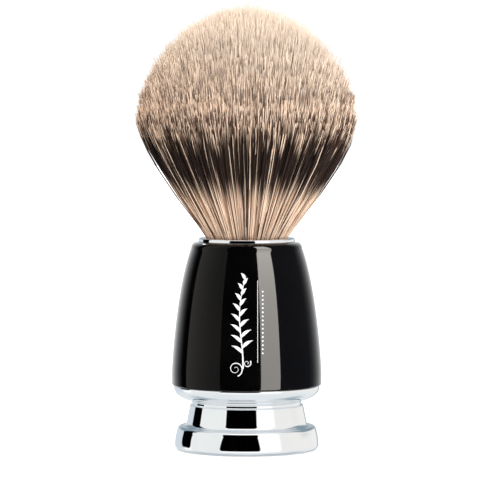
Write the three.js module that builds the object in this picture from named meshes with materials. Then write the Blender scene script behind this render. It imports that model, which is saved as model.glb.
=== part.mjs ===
// A shaving brush: a bound knot of hair in a plated collar cup, a turned resin barrel and a
// plated two-piece base, all drawn together by one tie rod. Millimetres, +Z up, origin at the
// centre of the foot pad's underside. Every turned piece shares the Z axis.

import * as THREE from 'three';

// ---- Driving dimensions ------------------------------------------------------------------

// Hair
const knotRadius = 10.4; // bound hair where it leaves the collar
const bulbRadius = 27.6;
const hairLoft = 57.5; // collar rim to crown
const widestHeight = 31; // collar rim to the widest level
const crownPower = 1.9; // superellipse power of the crown, 2 is an ellipse
const rootLength = 16; // hair that the collar still holds stiff, from the centre of its mouth
const flexGap = 0.3; // between the held roots and the hair that bends
const tiedWaist = 0.7; // how far the binding draws the root in
const tiedLength = 3.2;

// Knot ferrule and its setting
const ferruleWall = 0.8;
const ferruleLength = 9.7;
const plugThickness = 2.6;
const bindingTurns = 4;
const bindingLift = 0.4; // above the plug

// Collar cup
const settingClearance = 0.1;
const cupWall = 0.9;
const cupDepth = 12.5; // rim to the inside floor
const cupFloor = 1.5;
const lipWidth = 0.7; // collar lip beyond the cup wall
const lipHeight = 0.9;
const lipRound = 0.3;
const spigotRadius = 4;
const spigotLength = 6;
const spigotLead = 0.5;
const cupWasherThickness = 0.4;
const cupWasherInset = 0.3; // clear of the cup's outline and of the insert

// Barrel
const barrelLength = 36;
const barrelRadius = 18.83;
const barrelEdge = 0.5; // rounding at the foot of the barrel
const straightLength = 2.9; // cylindrical stretch above the lower edge
const shoulderRound = 1.6;
const shoulderFlat = 0.25; // flat of the shoulder beyond the collar lip
const locatorDepth = 1.2; // barrel spigot inside the bowl
const sealThickness = 0.5;
const sealWidth = 2.2;

// Threaded insert and tie rod
const insertRadius = 6.5;
const insertLength = 12;
const rodRadius = 2.5;
const rodEngagement = 5.3;
const rodHeadroom = 0.4; // above the rod's end, inside the insert
const rodLead = 0.5;
const rodProjection = 0.9; // beyond the nut
const rodClearance = 0.2;
const threadClearance = 0.1;

// Plated base
const bowlHeight = 4.85;
const bowlInset = 0.53; // bowl rim inside the barrel's outline
const bowlRimWidth = 3.35;
const bowlFloor = 1.75;
const bowlSlopeWidth = 2.4; // slope from the bowl's floor up to its bore
const bowlSlopeHeight = 1.6;
const spigotShoulder = 5.2; // waist outline to the bowl's locating spigot
const bowlSpigotHeight = 1;
const spigotRelief = 0.05; // recess floor below the spigot, so that the rims meet first
const grooveDepth = 0.35; // neck groove between bowl and waist
const waistHeight = 5.35;
const waistTopRadius = 14.2;
const waistFlare = 0.95;
const waistWall = 1.8;
const waistEdge = 0.2; // rounding where the waist meets the groove
const filletHeight = 1.25; // fillet from the ledge up to the waist
const filletWidth = 1.2;
const webThickness = 2.2;
const ledgeHeight = 5.9; // foot band, measured from the surface the brush stands on
const ledgeWidth = 2.25; // foot of the waist to the top of the foot band
const footTaper = 0.6; // how much wider the band is below than at its top
const footEdge = 1.25;
const footShoulder = 0.45;
const footLift = 0.3; // plated foot clear of the surface
const footRim = 3.7; // foot outline to the recess that holds the cover

// Inside the foot
const padThickness = 1.5;
const padEdge = 0.45;
const coverThickness = 1.2;
const coverClearance = 0.1;
const ballastBore = 5.8;
const ballastClearance = 0.15;
const washerRadius = 5;
const washerThickness = 0.85;
const springThickness = 1.2;
const springGapDegrees = 14;
const nutAcrossFlats = 8;
const nutThickness = 2.7;

// Handles of the curved outlines, as shares of the stretch that each curve spans
const flareOut = 0.785; // hair, lower handle: outwards and upwards
const flareUp = 0.66;
const flareUpright = 0.82; // hair, upper handle: where the side turns upright
const taperSoft = 0.063; // barrel, lower handle
const taperOut = 0.765; // barrel, upper handle: outwards and upwards
const taperUp = 0.672;
const bowlThroat = 0.28; // bowl: height of its tightest turn
const waistBow = 0.2; // waist: how far its side stands out at the middle handle
const waistBowUp = 0.6;

// Facets around the turned pieces
const outerFacets = 48;
const innerFacets = 24;

// ---- Levels, from the surface upwards -------------------------------------------------------

const coverTop = padThickness + coverThickness;
const waistTop = ledgeHeight + waistHeight;
const webBottom = waistTop - webThickness;
const barrelBottom = waistTop + bowlHeight;
const barrelTop = barrelBottom + barrelLength;
const rimLevel = barrelTop + lipHeight;
const cupInside = rimLevel - cupDepth;
const cupBottom = cupInside - cupFloor;
const recessLevel = cupBottom - cupWasherThickness;
const insertBottom = recessLevel - insertLength;
const nutBottom = webBottom - washerThickness - springThickness - nutThickness;

// ---- Radii that follow from a neighbour -------------------------------------------------------

const cupBore = knotRadius + settingClearance;
const cupRadius = cupBore + cupWall;
const lipRadius = cupRadius + lipWidth;
const barrelTopRadius = lipRadius + shoulderFlat + shoulderRound;
const ferruleBore = knotRadius - ferruleWall;
const bowlRimRadius = barrelRadius - bowlInset;
const bowlBore = bowlRimRadius - bowlRimWidth;
const neckRadius = waistTopRadius - grooveDepth;
const bowlSpigotRadius = waistTopRadius - spigotShoulder;
const waistFootRadius = waistTopRadius + waistFlare;
const bandTopRadius = waistFootRadius + ledgeWidth;
const footRadius = bandTopRadius + footTaper;
const footCavity = waistTopRadius - waistWall;
const coverRecess = footRadius - footRim;

// ---- Materials ---------------------------------------------------------------------------------

const finish = (color, roughness, metalness) =>
  new THREE.MeshStandardMaterial({ color, roughness, metalness });

const hairMaterial = finish(0xd8c4ac, 0.8, 0);
const rootMaterial = finish(0xb59a80, 0.85, 0);
const chrome = finish(0xe8ebee, 0.08, 1);
const blackResin = finish(0x060607, 0.12, 0);
const blackPlastic = finish(0x1b1b1c, 0.5, 0);
const amberResin = finish(0xa87a3c, 0.3, 0);
const cotton = finish(0xe6dfd0, 0.9, 0);
const rubber = finish(0x151515, 0.85, 0);
const brass = finish(0xc29a4a, 0.3, 1);
const steel = finish(0x9a9da1, 0.4, 1);
const castIron = finish(0x4a4b4d, 0.7, 1);
const felt = finish(0x101011, 0.95, 0);

// ---- Outline helpers ----------------------------------------------------------------------------

const at = (radius, level) => new THREE.Vector2(radius, level);

function arc(centre, radius, fromDegrees, toDegrees, steps = 6) {
  const points = [];
  for (let i = 0; i <= steps; i += 1) {
    const angle = THREE.MathUtils.degToRad(
      THREE.MathUtils.lerp(fromDegrees, toDegrees, i / steps));
    points.push(at(centre.x + radius * Math.cos(angle), centre.y + radius * Math.sin(angle)));
  }
  return points;
}

const sweep = (start, handleA, handleB, end, steps) =>
  new THREE.CubicBezierCurve(start, handleA, handleB, end).getPoints(steps);

const bend = (start, handle, end, steps) =>
  new THREE.QuadraticBezierCurve(start, handle, end).getPoints(steps);

// A turned piece: the outline runs anticlockwise, up its outside and down its inside.
function turned(name, material, outline, facets = outerFacets) {
  const geometry = new THREE.LatheGeometry(outline, facets);
  geometry.rotateX(Math.PI / 2);
  const mesh = new THREE.Mesh(geometry, material);
  mesh.name = name;
  return mesh;
}

// A turned piece with a hole through it: the outline closes on its first point.
const turnedRing = (name, material, outline, facets = outerFacets) =>
  turned(name, material, [...outline, outline[0].clone()], facets);

const flatRing = (name, material, innerRadius, outerRadius, bottom, top, facets = innerFacets) =>
  turnedRing(name, material, [
    at(innerRadius, bottom),
    at(outerRadius, bottom),
    at(outerRadius, top),
    at(innerRadius, top),
  ], facets);

function pressed(name, material, shape, bottom, thickness, curveSegments = 12) {
  const geometry = new THREE.ExtrudeGeometry(shape, {
    depth: thickness,
    bevelEnabled: false,
    curveSegments,
  });
  const mesh = new THREE.Mesh(geometry, material);
  mesh.name = name;
  mesh.position.z = bottom;
  return mesh;
}

function group(...members) {
  const result = new THREE.Group();
  result.add(...members);
  return result;
}

// ---- Hair: fixed roots and the bulb that bends above them -----------------------------------------

const flexCentre = at(0, rimLevel);
const widest = at(bulbRadius, rimLevel + widestHeight);
const spread = bulbRadius - knotRadius;
const flare = new THREE.CubicBezierCurve(
  at(knotRadius, rimLevel),
  at(knotRadius + flareOut * spread, rimLevel + flareUp * widestHeight),
  at(bulbRadius, rimLevel + flareUpright * widestHeight),
  widest);

// Parameter of the flare where it is a given distance from the flex centre.
function flareAtDistance(distance) {
  let low = 0;
  let high = 1;
  for (let i = 0; i < 40; i += 1) {
    const middle = (low + high) / 2;
    if (flare.getPoint(middle).distanceTo(flexCentre) < distance) {
      low = middle;
    } else {
      high = middle;
    }
  }
  return high;
}

function flarePoints(from, to, steps) {
  const points = [];
  for (let i = 0; i <= steps; i += 1) {
    points.push(flare.getPoint(THREE.MathUtils.lerp(from, to, i / steps)));
  }
  return points;
}

const elevation = (point) => THREE.MathUtils.radToDeg(
  Math.atan2(point.y - flexCentre.y, point.x - flexCentre.x));

function crownPoints(steps) {
  const height = hairLoft - widestHeight;
  const points = [];
  for (let i = 1; i < steps; i += 1) {
    const angle = (Math.PI / 2) * (i / steps);
    points.push(at(
      bulbRadius * Math.cos(angle) ** (2 / crownPower),
      widest.y + height * Math.sin(angle) ** (2 / crownPower)));
  }
  points.push(at(0, rimLevel + hairLoft));
  return points;
}

function hairBulb() {
  const inside = rootLength + flexGap;
  const start = flareAtDistance(inside);
  const edge = flare.getPoint(start);
  return turned('hair_bulb', hairMaterial, [
    ...arc(flexCentre, inside, 90, elevation(edge), 4).slice(0, -1),
    ...flarePoints(start, 1, 6),
    ...crownPoints(9),
  ]);
}

const plugTop = cupInside + plugThickness;
const tieBottom = plugTop + bindingLift;
const tieTop = tieBottom + tiedLength;
const rootRadius = ferruleBore - settingClearance;
const ferruleTop = cupInside + ferruleLength;

function hairRoot() {
  const end = flareAtDistance(rootLength);
  const edge = flare.getPoint(end);
  const tied = rootRadius - tiedWaist;
  return turned('hair_root', rootMaterial, [
    at(0, plugTop),
    at(tied, plugTop),
    at(tied, tieTop),
    at(rootRadius, tieTop + tiedWaist),
    at(rootRadius, ferruleTop),
    ...flarePoints(0, end, 3),
    ...arc(flexCentre, rootLength, elevation(edge), 90, 4).slice(1, -1),
    at(0, rimLevel + rootLength),
  ], innerFacets);
}

// Cord wound round the root, drawn as touching half-round turns.
function bindingThread() {
  const pitch = tiedLength / bindingTurns;
  const inner = rootRadius - tiedWaist + settingClearance;
  const outer = rootRadius - pitch / 2;
  const outline = [at(inner, tieBottom), at(outer, tieBottom)];
  for (let turn = 0; turn < bindingTurns; turn += 1) {
    const centre = at(outer, tieBottom + (turn + 0.5) * pitch);
    outline.push(...arc(centre, pitch / 2, -90, 90, 3).slice(1));
  }
  outline.push(at(inner, tieTop));
  return turnedRing('binding_thread', cotton, outline, innerFacets);
}

const knotPlug = () => turned('knot_plug', amberResin, [
  at(0, cupInside),
  at(rootRadius, cupInside),
  at(rootRadius, plugTop),
  at(0, plugTop),
], innerFacets);

const knotFerrule = () => flatRing(
  'knot_ferrule', blackPlastic, ferruleBore, knotRadius, cupInside, ferruleTop, outerFacets);

// ---- Collar ---------------------------------------------------------------------------------------

function collarCup() {
  const spigotEnd = cupBottom - spigotLength;
  return turned('collar_cup', chrome, [
    at(0, spigotEnd),
    at(spigotRadius - spigotLead, spigotEnd),
    at(spigotRadius, spigotEnd + spigotLead),
    at(spigotRadius, cupBottom),
    at(cupRadius, cupBottom),
    at(cupRadius, barrelTop),
    at(lipRadius, barrelTop),
    ...arc(at(lipRadius - lipRound, rimLevel - lipRound), lipRound, 0, 90, 3),
    at(cupBore, rimLevel),
    at(cupBore, cupInside),
    at(0, cupInside),
  ]);
}

const cupWasher = () => flatRing(
  'cup_washer', rubber, insertRadius + cupWasherInset, cupRadius - cupWasherInset,
  recessLevel, cupBottom);

// ---- Barrel ---------------------------------------------------------------------------------------

const locatorRadius = bowlBore - settingClearance;
const rodHole = rodRadius + rodClearance;

function barrel() {
  const taperStart = barrelBottom + straightLength;
  const taperEnd = barrelTop - shoulderRound;
  const taperLength = taperEnd - taperStart;
  const narrowing = barrelRadius - barrelTopRadius;
  const recess = cupRadius + settingClearance;
  const insertBore = insertRadius + settingClearance;
  const sealOuter = locatorRadius + sealWidth + settingClearance;
  return turnedRing('barrel', blackResin, [
    at(rodHole, barrelBottom - locatorDepth),
    at(locatorRadius, barrelBottom - locatorDepth),
    at(locatorRadius, barrelBottom + sealThickness),
    at(sealOuter, barrelBottom + sealThickness),
    at(sealOuter, barrelBottom),
    ...arc(at(barrelRadius - barrelEdge, barrelBottom + barrelEdge), barrelEdge, -90, 0, 3),
    ...sweep(
      at(barrelRadius, taperStart),
      at(barrelRadius, taperStart + taperSoft * taperLength),
      at(barrelTopRadius + taperOut * narrowing, taperStart + taperUp * taperLength),
      at(barrelTopRadius, taperEnd),
      10),
    ...arc(at(barrelTopRadius - shoulderRound, taperEnd), shoulderRound, 0, 90, 4).slice(1),
    at(recess, barrelTop),
    at(recess, recessLevel),
    at(insertBore, recessLevel),
    at(insertBore, insertBottom),
    at(rodHole, insertBottom),
  ]);
}

const barrelSeal = () => flatRing(
  'barrel_seal', rubber, locatorRadius + settingClearance, locatorRadius + sealWidth,
  barrelBottom, barrelBottom + sealThickness, outerFacets);

// Brass bush: a wide thread above for the collar's spigot, a narrow one below for the tie rod.
function threadedInsert() {
  const upperBore = spigotRadius + threadClearance;
  const lowerBore = rodRadius + threadClearance;
  const step = insertBottom + rodEngagement + rodHeadroom;
  return turnedRing('threaded_insert', brass, [
    at(lowerBore, insertBottom),
    at(insertRadius, insertBottom),
    at(insertRadius, recessLevel),
    at(upperBore, recessLevel),
    at(upperBore, step),
    at(lowerBore, step),
  ], innerFacets);
}

function tieRod() {
  const bottom = nutBottom - rodProjection;
  const top = insertBottom + rodEngagement;
  return turned('tie_rod', steel, [
    at(0, bottom),
    at(rodRadius - rodLead, bottom),
    at(rodRadius, bottom + rodLead),
    at(rodRadius, top - rodLead),
    at(rodRadius - rodLead, top),
    at(0, top),
  ], innerFacets);
}

// ---- Plated base ----------------------------------------------------------------------------------

function baseBowl() {
  const throat = waistTop + bowlThroat * bowlHeight;
  const floor = waistTop + bowlFloor;
  const slopeTop = floor + bowlSlopeHeight;
  return turnedRing('base_bowl', chrome, [
    at(rodHole, waistTop - bowlSpigotHeight),
    at(bowlSpigotRadius, waistTop - bowlSpigotHeight),
    at(bowlSpigotRadius, waistTop),
    ...sweep(
      at(neckRadius, waistTop),
      at(neckRadius, throat),
      at(bowlRimRadius, throat),
      at(bowlRimRadius, barrelBottom),
      9),
    at(bowlBore, barrelBottom),
    at(bowlBore, slopeTop),
    at(bowlBore - bowlSlopeWidth, floor),
    at(rodHole, floor),
  ]);
}

function baseFoot() {
  const filletTop = ledgeHeight + filletHeight;
  const recessDepth = bowlSpigotHeight + spigotRelief;
  const recess = bowlSpigotRadius + settingClearance;
  return turnedRing('base_foot', chrome, [
    at(coverRecess, footLift),
    ...arc(at(footRadius - footEdge, footLift + footEdge), footEdge, -90, 0, 4),
    ...arc(at(bandTopRadius - footShoulder, ledgeHeight - footShoulder), footShoulder, 0, 90, 3),
    ...bend(
      at(waistFootRadius + filletWidth, ledgeHeight),
      at(waistFootRadius, ledgeHeight),
      at(waistFootRadius, filletTop),
      4),
    ...bend(
      at(waistFootRadius, filletTop),
      at(waistTopRadius + waistBow * waistFlare, ledgeHeight + waistBowUp * waistHeight),
      at(waistTopRadius, waistTop - waistEdge),
      4).slice(1),
    ...arc(at(waistTopRadius - waistEdge, waistTop - waistEdge), waistEdge, 0, 90, 2).slice(1),
    at(recess, waistTop),
    at(recess, waistTop - recessDepth),
    at(rodHole, waistTop - recessDepth),
    at(rodHole, webBottom),
    at(footCavity, webBottom),
    at(footCavity, coverTop),
    at(coverRecess, coverTop),
  ]);
}

const ballast = () => flatRing(
  'ballast_ring', castIron, ballastBore, footCavity - ballastClearance,
  coverTop + ballastClearance, webBottom);

const flatWasher = () => flatRing(
  'flat_washer', steel, rodHole, washerRadius, webBottom - washerThickness, webBottom);

// Split ring, flattened by the nut.
function springWasher() {
  const half = THREE.MathUtils.degToRad(springGapDegrees / 2);
  const shape = new THREE.Shape();
  shape.absarc(0, 0, nutAcrossFlats / 2, half, 2 * Math.PI - half, false);
  shape.absarc(0, 0, rodHole, 2 * Math.PI - half, half, true);
  shape.closePath();
  const bottom = webBottom - washerThickness - springThickness;
  return pressed('spring_washer', steel, shape, bottom, springThickness, 24);
}

function tieNut() {
  const cornerRadius = nutAcrossFlats / Math.sqrt(3);
  const shape = new THREE.Shape();
  for (let side = 0; side < 6; side += 1) {
    const angle = (side * Math.PI) / 3;
    const x = cornerRadius * Math.cos(angle);
    const y = cornerRadius * Math.sin(angle);
    if (side === 0) {
      shape.moveTo(x, y);
    } else {
      shape.lineTo(x, y);
    }
  }
  shape.closePath();
  const hole = new THREE.Path();
  hole.absarc(0, 0, rodRadius + threadClearance, 0, 2 * Math.PI, true);
  shape.holes.push(hole);
  return pressed('tie_nut', steel, shape, nutBottom, nutThickness, 24);
}

const discRadius = coverRecess - coverClearance;

const baseCover = () => turned('base_cover', blackPlastic, [
  at(0, padThickness),
  at(discRadius, padThickness),
  at(discRadius, coverTop),
  at(0, coverTop),
]);

function footPad() {
  return turned('foot_pad', felt, [
    at(0, 0),
    ...arc(at(discRadius - padEdge, padEdge), padEdge, -90, 0, 3),
    at(discRadius, padThickness),
    at(0, padThickness),
  ]);
}

// ---- Assembly -------------------------------------------------------------------------------------

const foot = group(
  footPad(), baseCover(), ballast(), tieNut(), springWasher(), flatWasher(), baseFoot());
const base = group(foot, baseBowl(), tieRod());
const middle = group(barrelSeal(), barrel(), threadedInsert());
const collar = group(cupWasher(), collarCup());
const knotSetting = group(knotPlug(), knotFerrule(), bindingThread(), hairRoot());
const handle = group(base, middle, collar, knotSetting);
const bendingKnot = group(hairBulb());
const shavingBrush = group(handle, bendingKnot);

export default shavingBrush;
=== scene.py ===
from functools import reduce
from math import cos, pi, radians, sin

import bmesh
import bpy
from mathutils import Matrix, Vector


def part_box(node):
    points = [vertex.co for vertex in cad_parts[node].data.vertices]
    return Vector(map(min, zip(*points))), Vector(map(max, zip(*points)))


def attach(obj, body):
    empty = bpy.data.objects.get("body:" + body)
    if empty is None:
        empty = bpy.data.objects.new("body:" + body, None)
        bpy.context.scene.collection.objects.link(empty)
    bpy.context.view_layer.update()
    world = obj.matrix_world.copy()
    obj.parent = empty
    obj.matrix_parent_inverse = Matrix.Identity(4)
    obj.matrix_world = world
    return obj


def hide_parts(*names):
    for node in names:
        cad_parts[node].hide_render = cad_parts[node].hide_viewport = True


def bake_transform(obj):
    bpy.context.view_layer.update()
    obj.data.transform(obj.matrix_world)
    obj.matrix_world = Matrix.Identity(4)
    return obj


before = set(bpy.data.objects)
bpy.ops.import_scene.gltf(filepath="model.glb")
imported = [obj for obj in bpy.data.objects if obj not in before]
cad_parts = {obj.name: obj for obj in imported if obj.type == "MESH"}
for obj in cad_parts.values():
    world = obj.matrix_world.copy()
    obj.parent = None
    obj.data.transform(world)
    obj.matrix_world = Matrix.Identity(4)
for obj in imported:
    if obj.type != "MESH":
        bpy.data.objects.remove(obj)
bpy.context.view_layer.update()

# ---- Studio ------------------------------------------------------------------------------
# The brush stands on a pale tabletop in front of a white sweep. Plated metal mirrors a tall
# ring of white card with a dark gap behind the camera; cast resin mirrors only strip lights.

MM = 0.001
scene = bpy.context.scene
scene.view_settings.view_transform = "Standard"


def socket(sockets, key):
    """Find a socket by its place, or by its identifier where several share a name."""
    if isinstance(key, int):
        return sockets[key]
    return next(each for each in sockets if each.identifier == key)


def put(tree, kind, wires=(), **settings):
    """Add a node. Wires go to its inputs: a socket is linked, any other value is set."""
    node = tree.nodes.new(kind)
    for setting, value in settings.items():
        setattr(node, setting, value)
    for key, wire in (wires if isinstance(wires, dict) else dict(enumerate(wires))).items():
        if isinstance(wire, bpy.types.NodeSocket):
            tree.links.new(wire, socket(node.inputs, key))
        elif wire is not None:
            socket(node.inputs, key).default_value = wire
    return node


def tree_of(*terms):
    """The node tree that the first socket among some terms belongs to."""
    return next(term.id_data for term in terms if isinstance(term, bpy.types.NodeSocket))


def calc(operation, *terms):
    """Number arithmetic, as one Math node in the tree of its terms."""
    return put(tree_of(*terms), "ShaderNodeMath", terms, operation=operation).outputs[0]


def times(*terms):
    return reduce(lambda first, second: calc("MULTIPLY", first, second), terms)


def plus(*terms):
    return reduce(lambda first, second: calc("ADD", first, second), terms)


def minus(first, second):
    return calc("SUBTRACT", first, second)


def over(first, second):
    return calc("DIVIDE", first, second)


def arrows(operation, *terms):
    """Vector arithmetic, as one Vector Math node with its inputs in order."""
    return put(tree_of(*terms), "ShaderNodeVectorMath", terms, operation=operation)


def scaled(arrow, size):
    """A vector times a number."""
    wires = {"Vector": arrow, "Scale": size}
    return put(tree_of(arrow, size), "ShaderNodeVectorMath", wires, operation="SCALE").outputs[0]


def moved(*places):
    """The sum of two or more vectors."""
    return reduce(lambda first, second: arrows("ADD", first, second).outputs[0], places)


def split(place):
    """The three numbers of a vector."""
    return put(place.id_data, "ShaderNodeSeparateXYZ", (place,)).outputs


def spot(x, y, z):
    return put(tree_of(x, y, z), "ShaderNodeCombineXYZ", (x, y, z)).outputs[0]


def ramp(value, low, high, to_low=0.0, to_high=1.0, smooth=True):
    """Carry a value from one range to another, eased and clamped."""
    easing = "SMOOTHSTEP" if smooth else "LINEAR"
    wires = (value, low, high, to_low, to_high)
    return put(value.id_data, "ShaderNodeMapRange", wires, interpolation_type=easing).outputs[0]


def mixed(share, first, second):
    """Blend two colours by a share from 0 to 1."""
    wires = {"Factor_Float": share, "A_Color": first, "B_Color": second}
    return socket(put(share.id_data, "ShaderNodeMix", wires, data_type="RGBA").outputs, "Result_Color")


def blank_finish(name, **settings):
    """A new material with one Principled shader, its tree and the shader."""
    made = bpy.data.materials.new(name)
    made.use_nodes = True
    shader = made.node_tree.nodes["Principled BSDF"]
    for label, value in settings.items():
        shader.inputs[label.replace("_", " ")].default_value = value
    return made, made.node_tree, shader


def object_place(tree):
    return put(tree, "ShaderNodeTexCoord").outputs["Object"]


def noise(place, scale, detail=2.0):
    """Soft noise round 0.5 at each place."""
    return put(place.id_data, "ShaderNodeTexNoise", {0: place, 2: scale, 3: detail}).outputs[0]


def paint(shader, share, first, second):
    """Colour a finish by a share between two tones."""
    shader.id_data.links.new(mixed(share, first, second), shader.inputs[0])


# Camera: a long lens in front of the brush, level with the hair and tipped slightly down.
CAMERA_PLACE = (0.000825, -0.767, 0.0893)
CAMERA_DIP = 2.94
camera = bpy.data.objects.new("camera", bpy.data.cameras.new("camera"))
camera.data.lens = 221
camera.data.sensor_width = 36
camera.data.clip_start = 0.01
camera.data.clip_end = 10
camera.location = CAMERA_PLACE
camera.rotation_euler = (radians(90 - CAMERA_DIP), 0, 0)
scene.collection.objects.link(camera)
scene.camera = camera

plated = bpy.data.collections.new("plated pieces")
cast = bpy.data.collections.new("cast resin pieces")

# Background: white to the camera, soft light from all round to everything that scatters it.
sweep_light = bpy.data.worlds.new("white sweep")
scene.world = sweep_light
sweep_light.use_nodes = True
sky = sweep_light.node_tree
toward = put(sky, "ShaderNodeTexCoord").outputs["Generated"]
height = split(toward)[2]
overhead = ramp(height, -0.2, 1.0, 1.42, 2.05)
seen = put(sky, "ShaderNodeLightPath").outputs["Is Camera Ray"]
sky_level = put(sky, "ShaderNodeMix", {"Factor_Float": seen, "A_Float": overhead, "B_Float": 1.0})
backdrop = sky.nodes["Background"]
backdrop.inputs["Color"].default_value = (1, 1, 1, 1)
sky.links.new(sky_level.outputs[0], backdrop.inputs["Strength"])

# Tabletop, which mirrors don't see, so that the card ring shows below the brush as well.
TABLE_RADIUS = 3.0
table_mesh = bmesh.new()
bmesh.ops.create_circle(table_mesh, cap_ends=True, segments=96, radius=TABLE_RADIUS)
tabletop = bpy.data.objects.new("tabletop", bpy.data.meshes.new("tabletop"))
table_mesh.to_mesh(tabletop.data)
table_mesh.free()
scene.collection.objects.link(tabletop)
pale_board, tree, shader = blank_finish("pale board", Roughness=0.9, Specular_IOR_Level=0.0)
paint(shader, noise(object_place(tree), 40.0), (0.9, 0.9, 0.9, 1), (0.92, 0.92, 0.92, 1))
tabletop.data.materials.append(pale_board)
tabletop.visible_glossy = False
tabletop.visible_shadow = False

# Card ring: a ball of glowing card that only the plated pieces mirror.
RING_RADIUS = 1.5
ring_mesh = bmesh.new()
bmesh.ops.create_uvsphere(ring_mesh, u_segments=64, v_segments=32, radius=RING_RADIUS)
card_ring = bpy.data.objects.new("card_ring", bpy.data.meshes.new("card_ring"))
ring_mesh.to_mesh(card_ring.data)
ring_mesh.free()
scene.collection.objects.link(card_ring)
card = bpy.data.materials.new("studio card")
card.use_nodes = True
tree = card.node_tree
tree.nodes.clear()
TO_DEGREES = 180 / pi
parts = split(object_place(tree))
bearing = times(calc("ARCTAN2", parts[0], times(parts[1], -1.0)), TO_DEGREES)
rise = times(calc("ARCSINE", over(parts[2], RING_RADIUS)), TO_DEGREES)


def card_patch(low, high, bottom, top, corner=1.0, soft=1.0, lean=0.0):
    """Share of a card between two bearings and two heights, in degrees, with round corners.
    Lean narrows the card by that share for each degree above its bottom."""
    past = []
    narrowing = calc("MULTIPLY_ADD", minus(rise, bottom), lean, 1.0)
    for value, start, end, factor in ((bearing, low, high, narrowing), (rise, bottom, top, 1.0)):
        off = calc("ABSOLUTE", minus(value, (start + end) / 2))
        off = times(off, factor)
        past.append(minus(off, (end - start) / 2 - corner))
    outside = spot(calc("MAXIMUM", past[0], 0.0), calc("MAXIMUM", past[1], 0.0), 0.0)
    distance = arrows("LENGTH", outside).outputs["Value"]
    return ramp(distance, corner - soft, corner + soft, 1.0, 0.0)


glow = (1.22, 1.22, 1.22, 1)
warm = mixed(card_patch(56, 150, -89, 60, 10, 4), glow, (0.96, 0.95, 0.92, 1))
cool = mixed(card_patch(-100, -42, -89, 60, 10, 3), warm, (0.94, 0.96, 0.94, 1))
behind = calc("ABSOLUTE", bearing)
rear = mixed(ramp(behind, 146, 160), cool, (0.50, 0.55, 0.58, 1))
left = mixed(card_patch(-172, -120, -60, 60, 10, 8), rear, (0.70, 0.77, 0.82, 1))
below = mixed(ramp(rise, -7, -30), left, (0.86, 0.90, 0.92, 1))
low_rear = times(ramp(behind, 95, 120), ramp(rise, -30, -52))
low_rear = times(low_rear, ramp(rise, -84, -70))
deep = mixed(low_rear, below, (0.40, 0.48, 0.54, 1))
high_rear = times(ramp(behind, 95, 120), ramp(rise, 4, 20))
above = mixed(high_rear, deep, (0.26, 0.34, 0.4, 1))
BLACK = (0.0, 0.0, 0.0, 1)
gap = mixed(card_patch(-44, 22.5, -5.0, 36, 5, lean=0.0045), above, BLACK)
stand = mixed(card_patch(-128, -101, -5.0, 36, 5), gap, BLACK)
emitter = put(tree, "ShaderNodeEmission", (stand, 1.0)).outputs[0]
put(tree, "ShaderNodeOutputMaterial", (emitter,))
card_ring.data.materials.append(card)
card_ring.visible_camera = False
card_ring.visible_diffuse = False
card_ring.visible_shadow = False
card_ring.light_linking.receiver_collection = plated


LAMP_REACH = 0.6


def strip_light(name, bearing_at, width, energy, colour, fades=(), climb=None, span=(-0.5, 1.1)):
    """An upright lamp at a bearing round the brush, lighting only the cast resin. Each fade is
    a ramp across it in degrees, and climb is a ramp up it in shares of its height."""
    lamp = bpy.data.lights.new(name, "AREA")
    lamp.shape = "RECTANGLE"
    lamp.size = width
    lamp.size_y = span[1] - span[0]
    lamp.energy = energy * lamp.size * lamp.size_y
    lamp.color = colour
    if fades or climb:
        lamp.use_nodes = True
        glass = lamp.node_tree
        face = put(glass, "ShaderNodeNewGeometry").outputs["Parametric"]
        across, up = split(face)[:2]
        aside = times(minus(across, 0.5), width / LAMP_REACH)
        aside = times(calc("ARCTANGENT", aside), TO_DEGREES)
        level = ramp(up, *climb) if climb else 1.0
        for fade in fades:
            level = times(level, ramp(aside, *fade))
        glass.links.new(level, glass.nodes["Emission"].inputs["Strength"])
    holder = bpy.data.objects.new(name, lamp)
    turn = radians(bearing_at)
    holder.location = (LAMP_REACH * sin(turn), -LAMP_REACH * cos(turn), (span[0] + span[1]) / 2)
    holder.rotation_euler = (pi / 2, 0, turn)
    holder.visible_camera = False
    holder.light_linking.receiver_collection = cast
    scene.collection.objects.link(holder)


strip_light("narrow strip", 36.9, 0.328, 29.0, (1.0, 0.96, 0.9), climb=(0.3, 0.62, 0.6, 1.0))
strip_light("broad card", -73, 0.75, 1.3, (1.0, 0.97, 0.92), [(-33, 33, 1.0, 0.5)])
strip_light("dim card", 88, 1.0, 0.34, (0.75, 0.8, 1.0), [(20, 39, 1.0, 0.0)])
strip_light("rear card", 180, 3.9, 4.3, (0.97, 0.98, 1.0), [(-72, -12, 0.0, 1.0), (22, 66, 1.0, 0.0)])
strip_light("glint", -148, 0.07, 60.0, (1.0, 1.0, 1.0), span=(0.46, 0.53))

# ---- Barrel ------------------------------------------------------------------------------
# A turned handle of solid cast resin, black all through, sanded and buffed to a deep gloss.
# It is bored from both ends and held between collar and base by the rod.

TURNS = 192
SHARP = radians(28)


def arc(radius_at, level_at, radius, start, end, steps=8):
    """Points of an arc in the turning plane, from one angle to another in degrees."""
    angles = [radians(start + (end - start) * i / steps) for i in range(steps + 1)]
    return [(radius_at + radius * cos(a), level_at + radius * sin(a)) for a in angles]


def swoop(points, steps):
    """Points along a Bezier curve through the turning plane, quadratic or cubic."""
    result = []
    for i in range(steps + 1):
        t = i / steps
        row = [Vector(p) for p in points]
        while len(row) > 1:
            row = [a.lerp(b, t) for a, b in zip(row, row[1:])]
        result.append(tuple(row[0]))
    return result


def piece_from(mesh_data, name, finish):
    """A finished piece at the origin, from a mesh in metres."""
    piece = bpy.data.objects.new(name, mesh_data)
    scene.collection.objects.link(piece)
    mesh_data.materials.append(finish)
    return piece


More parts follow.
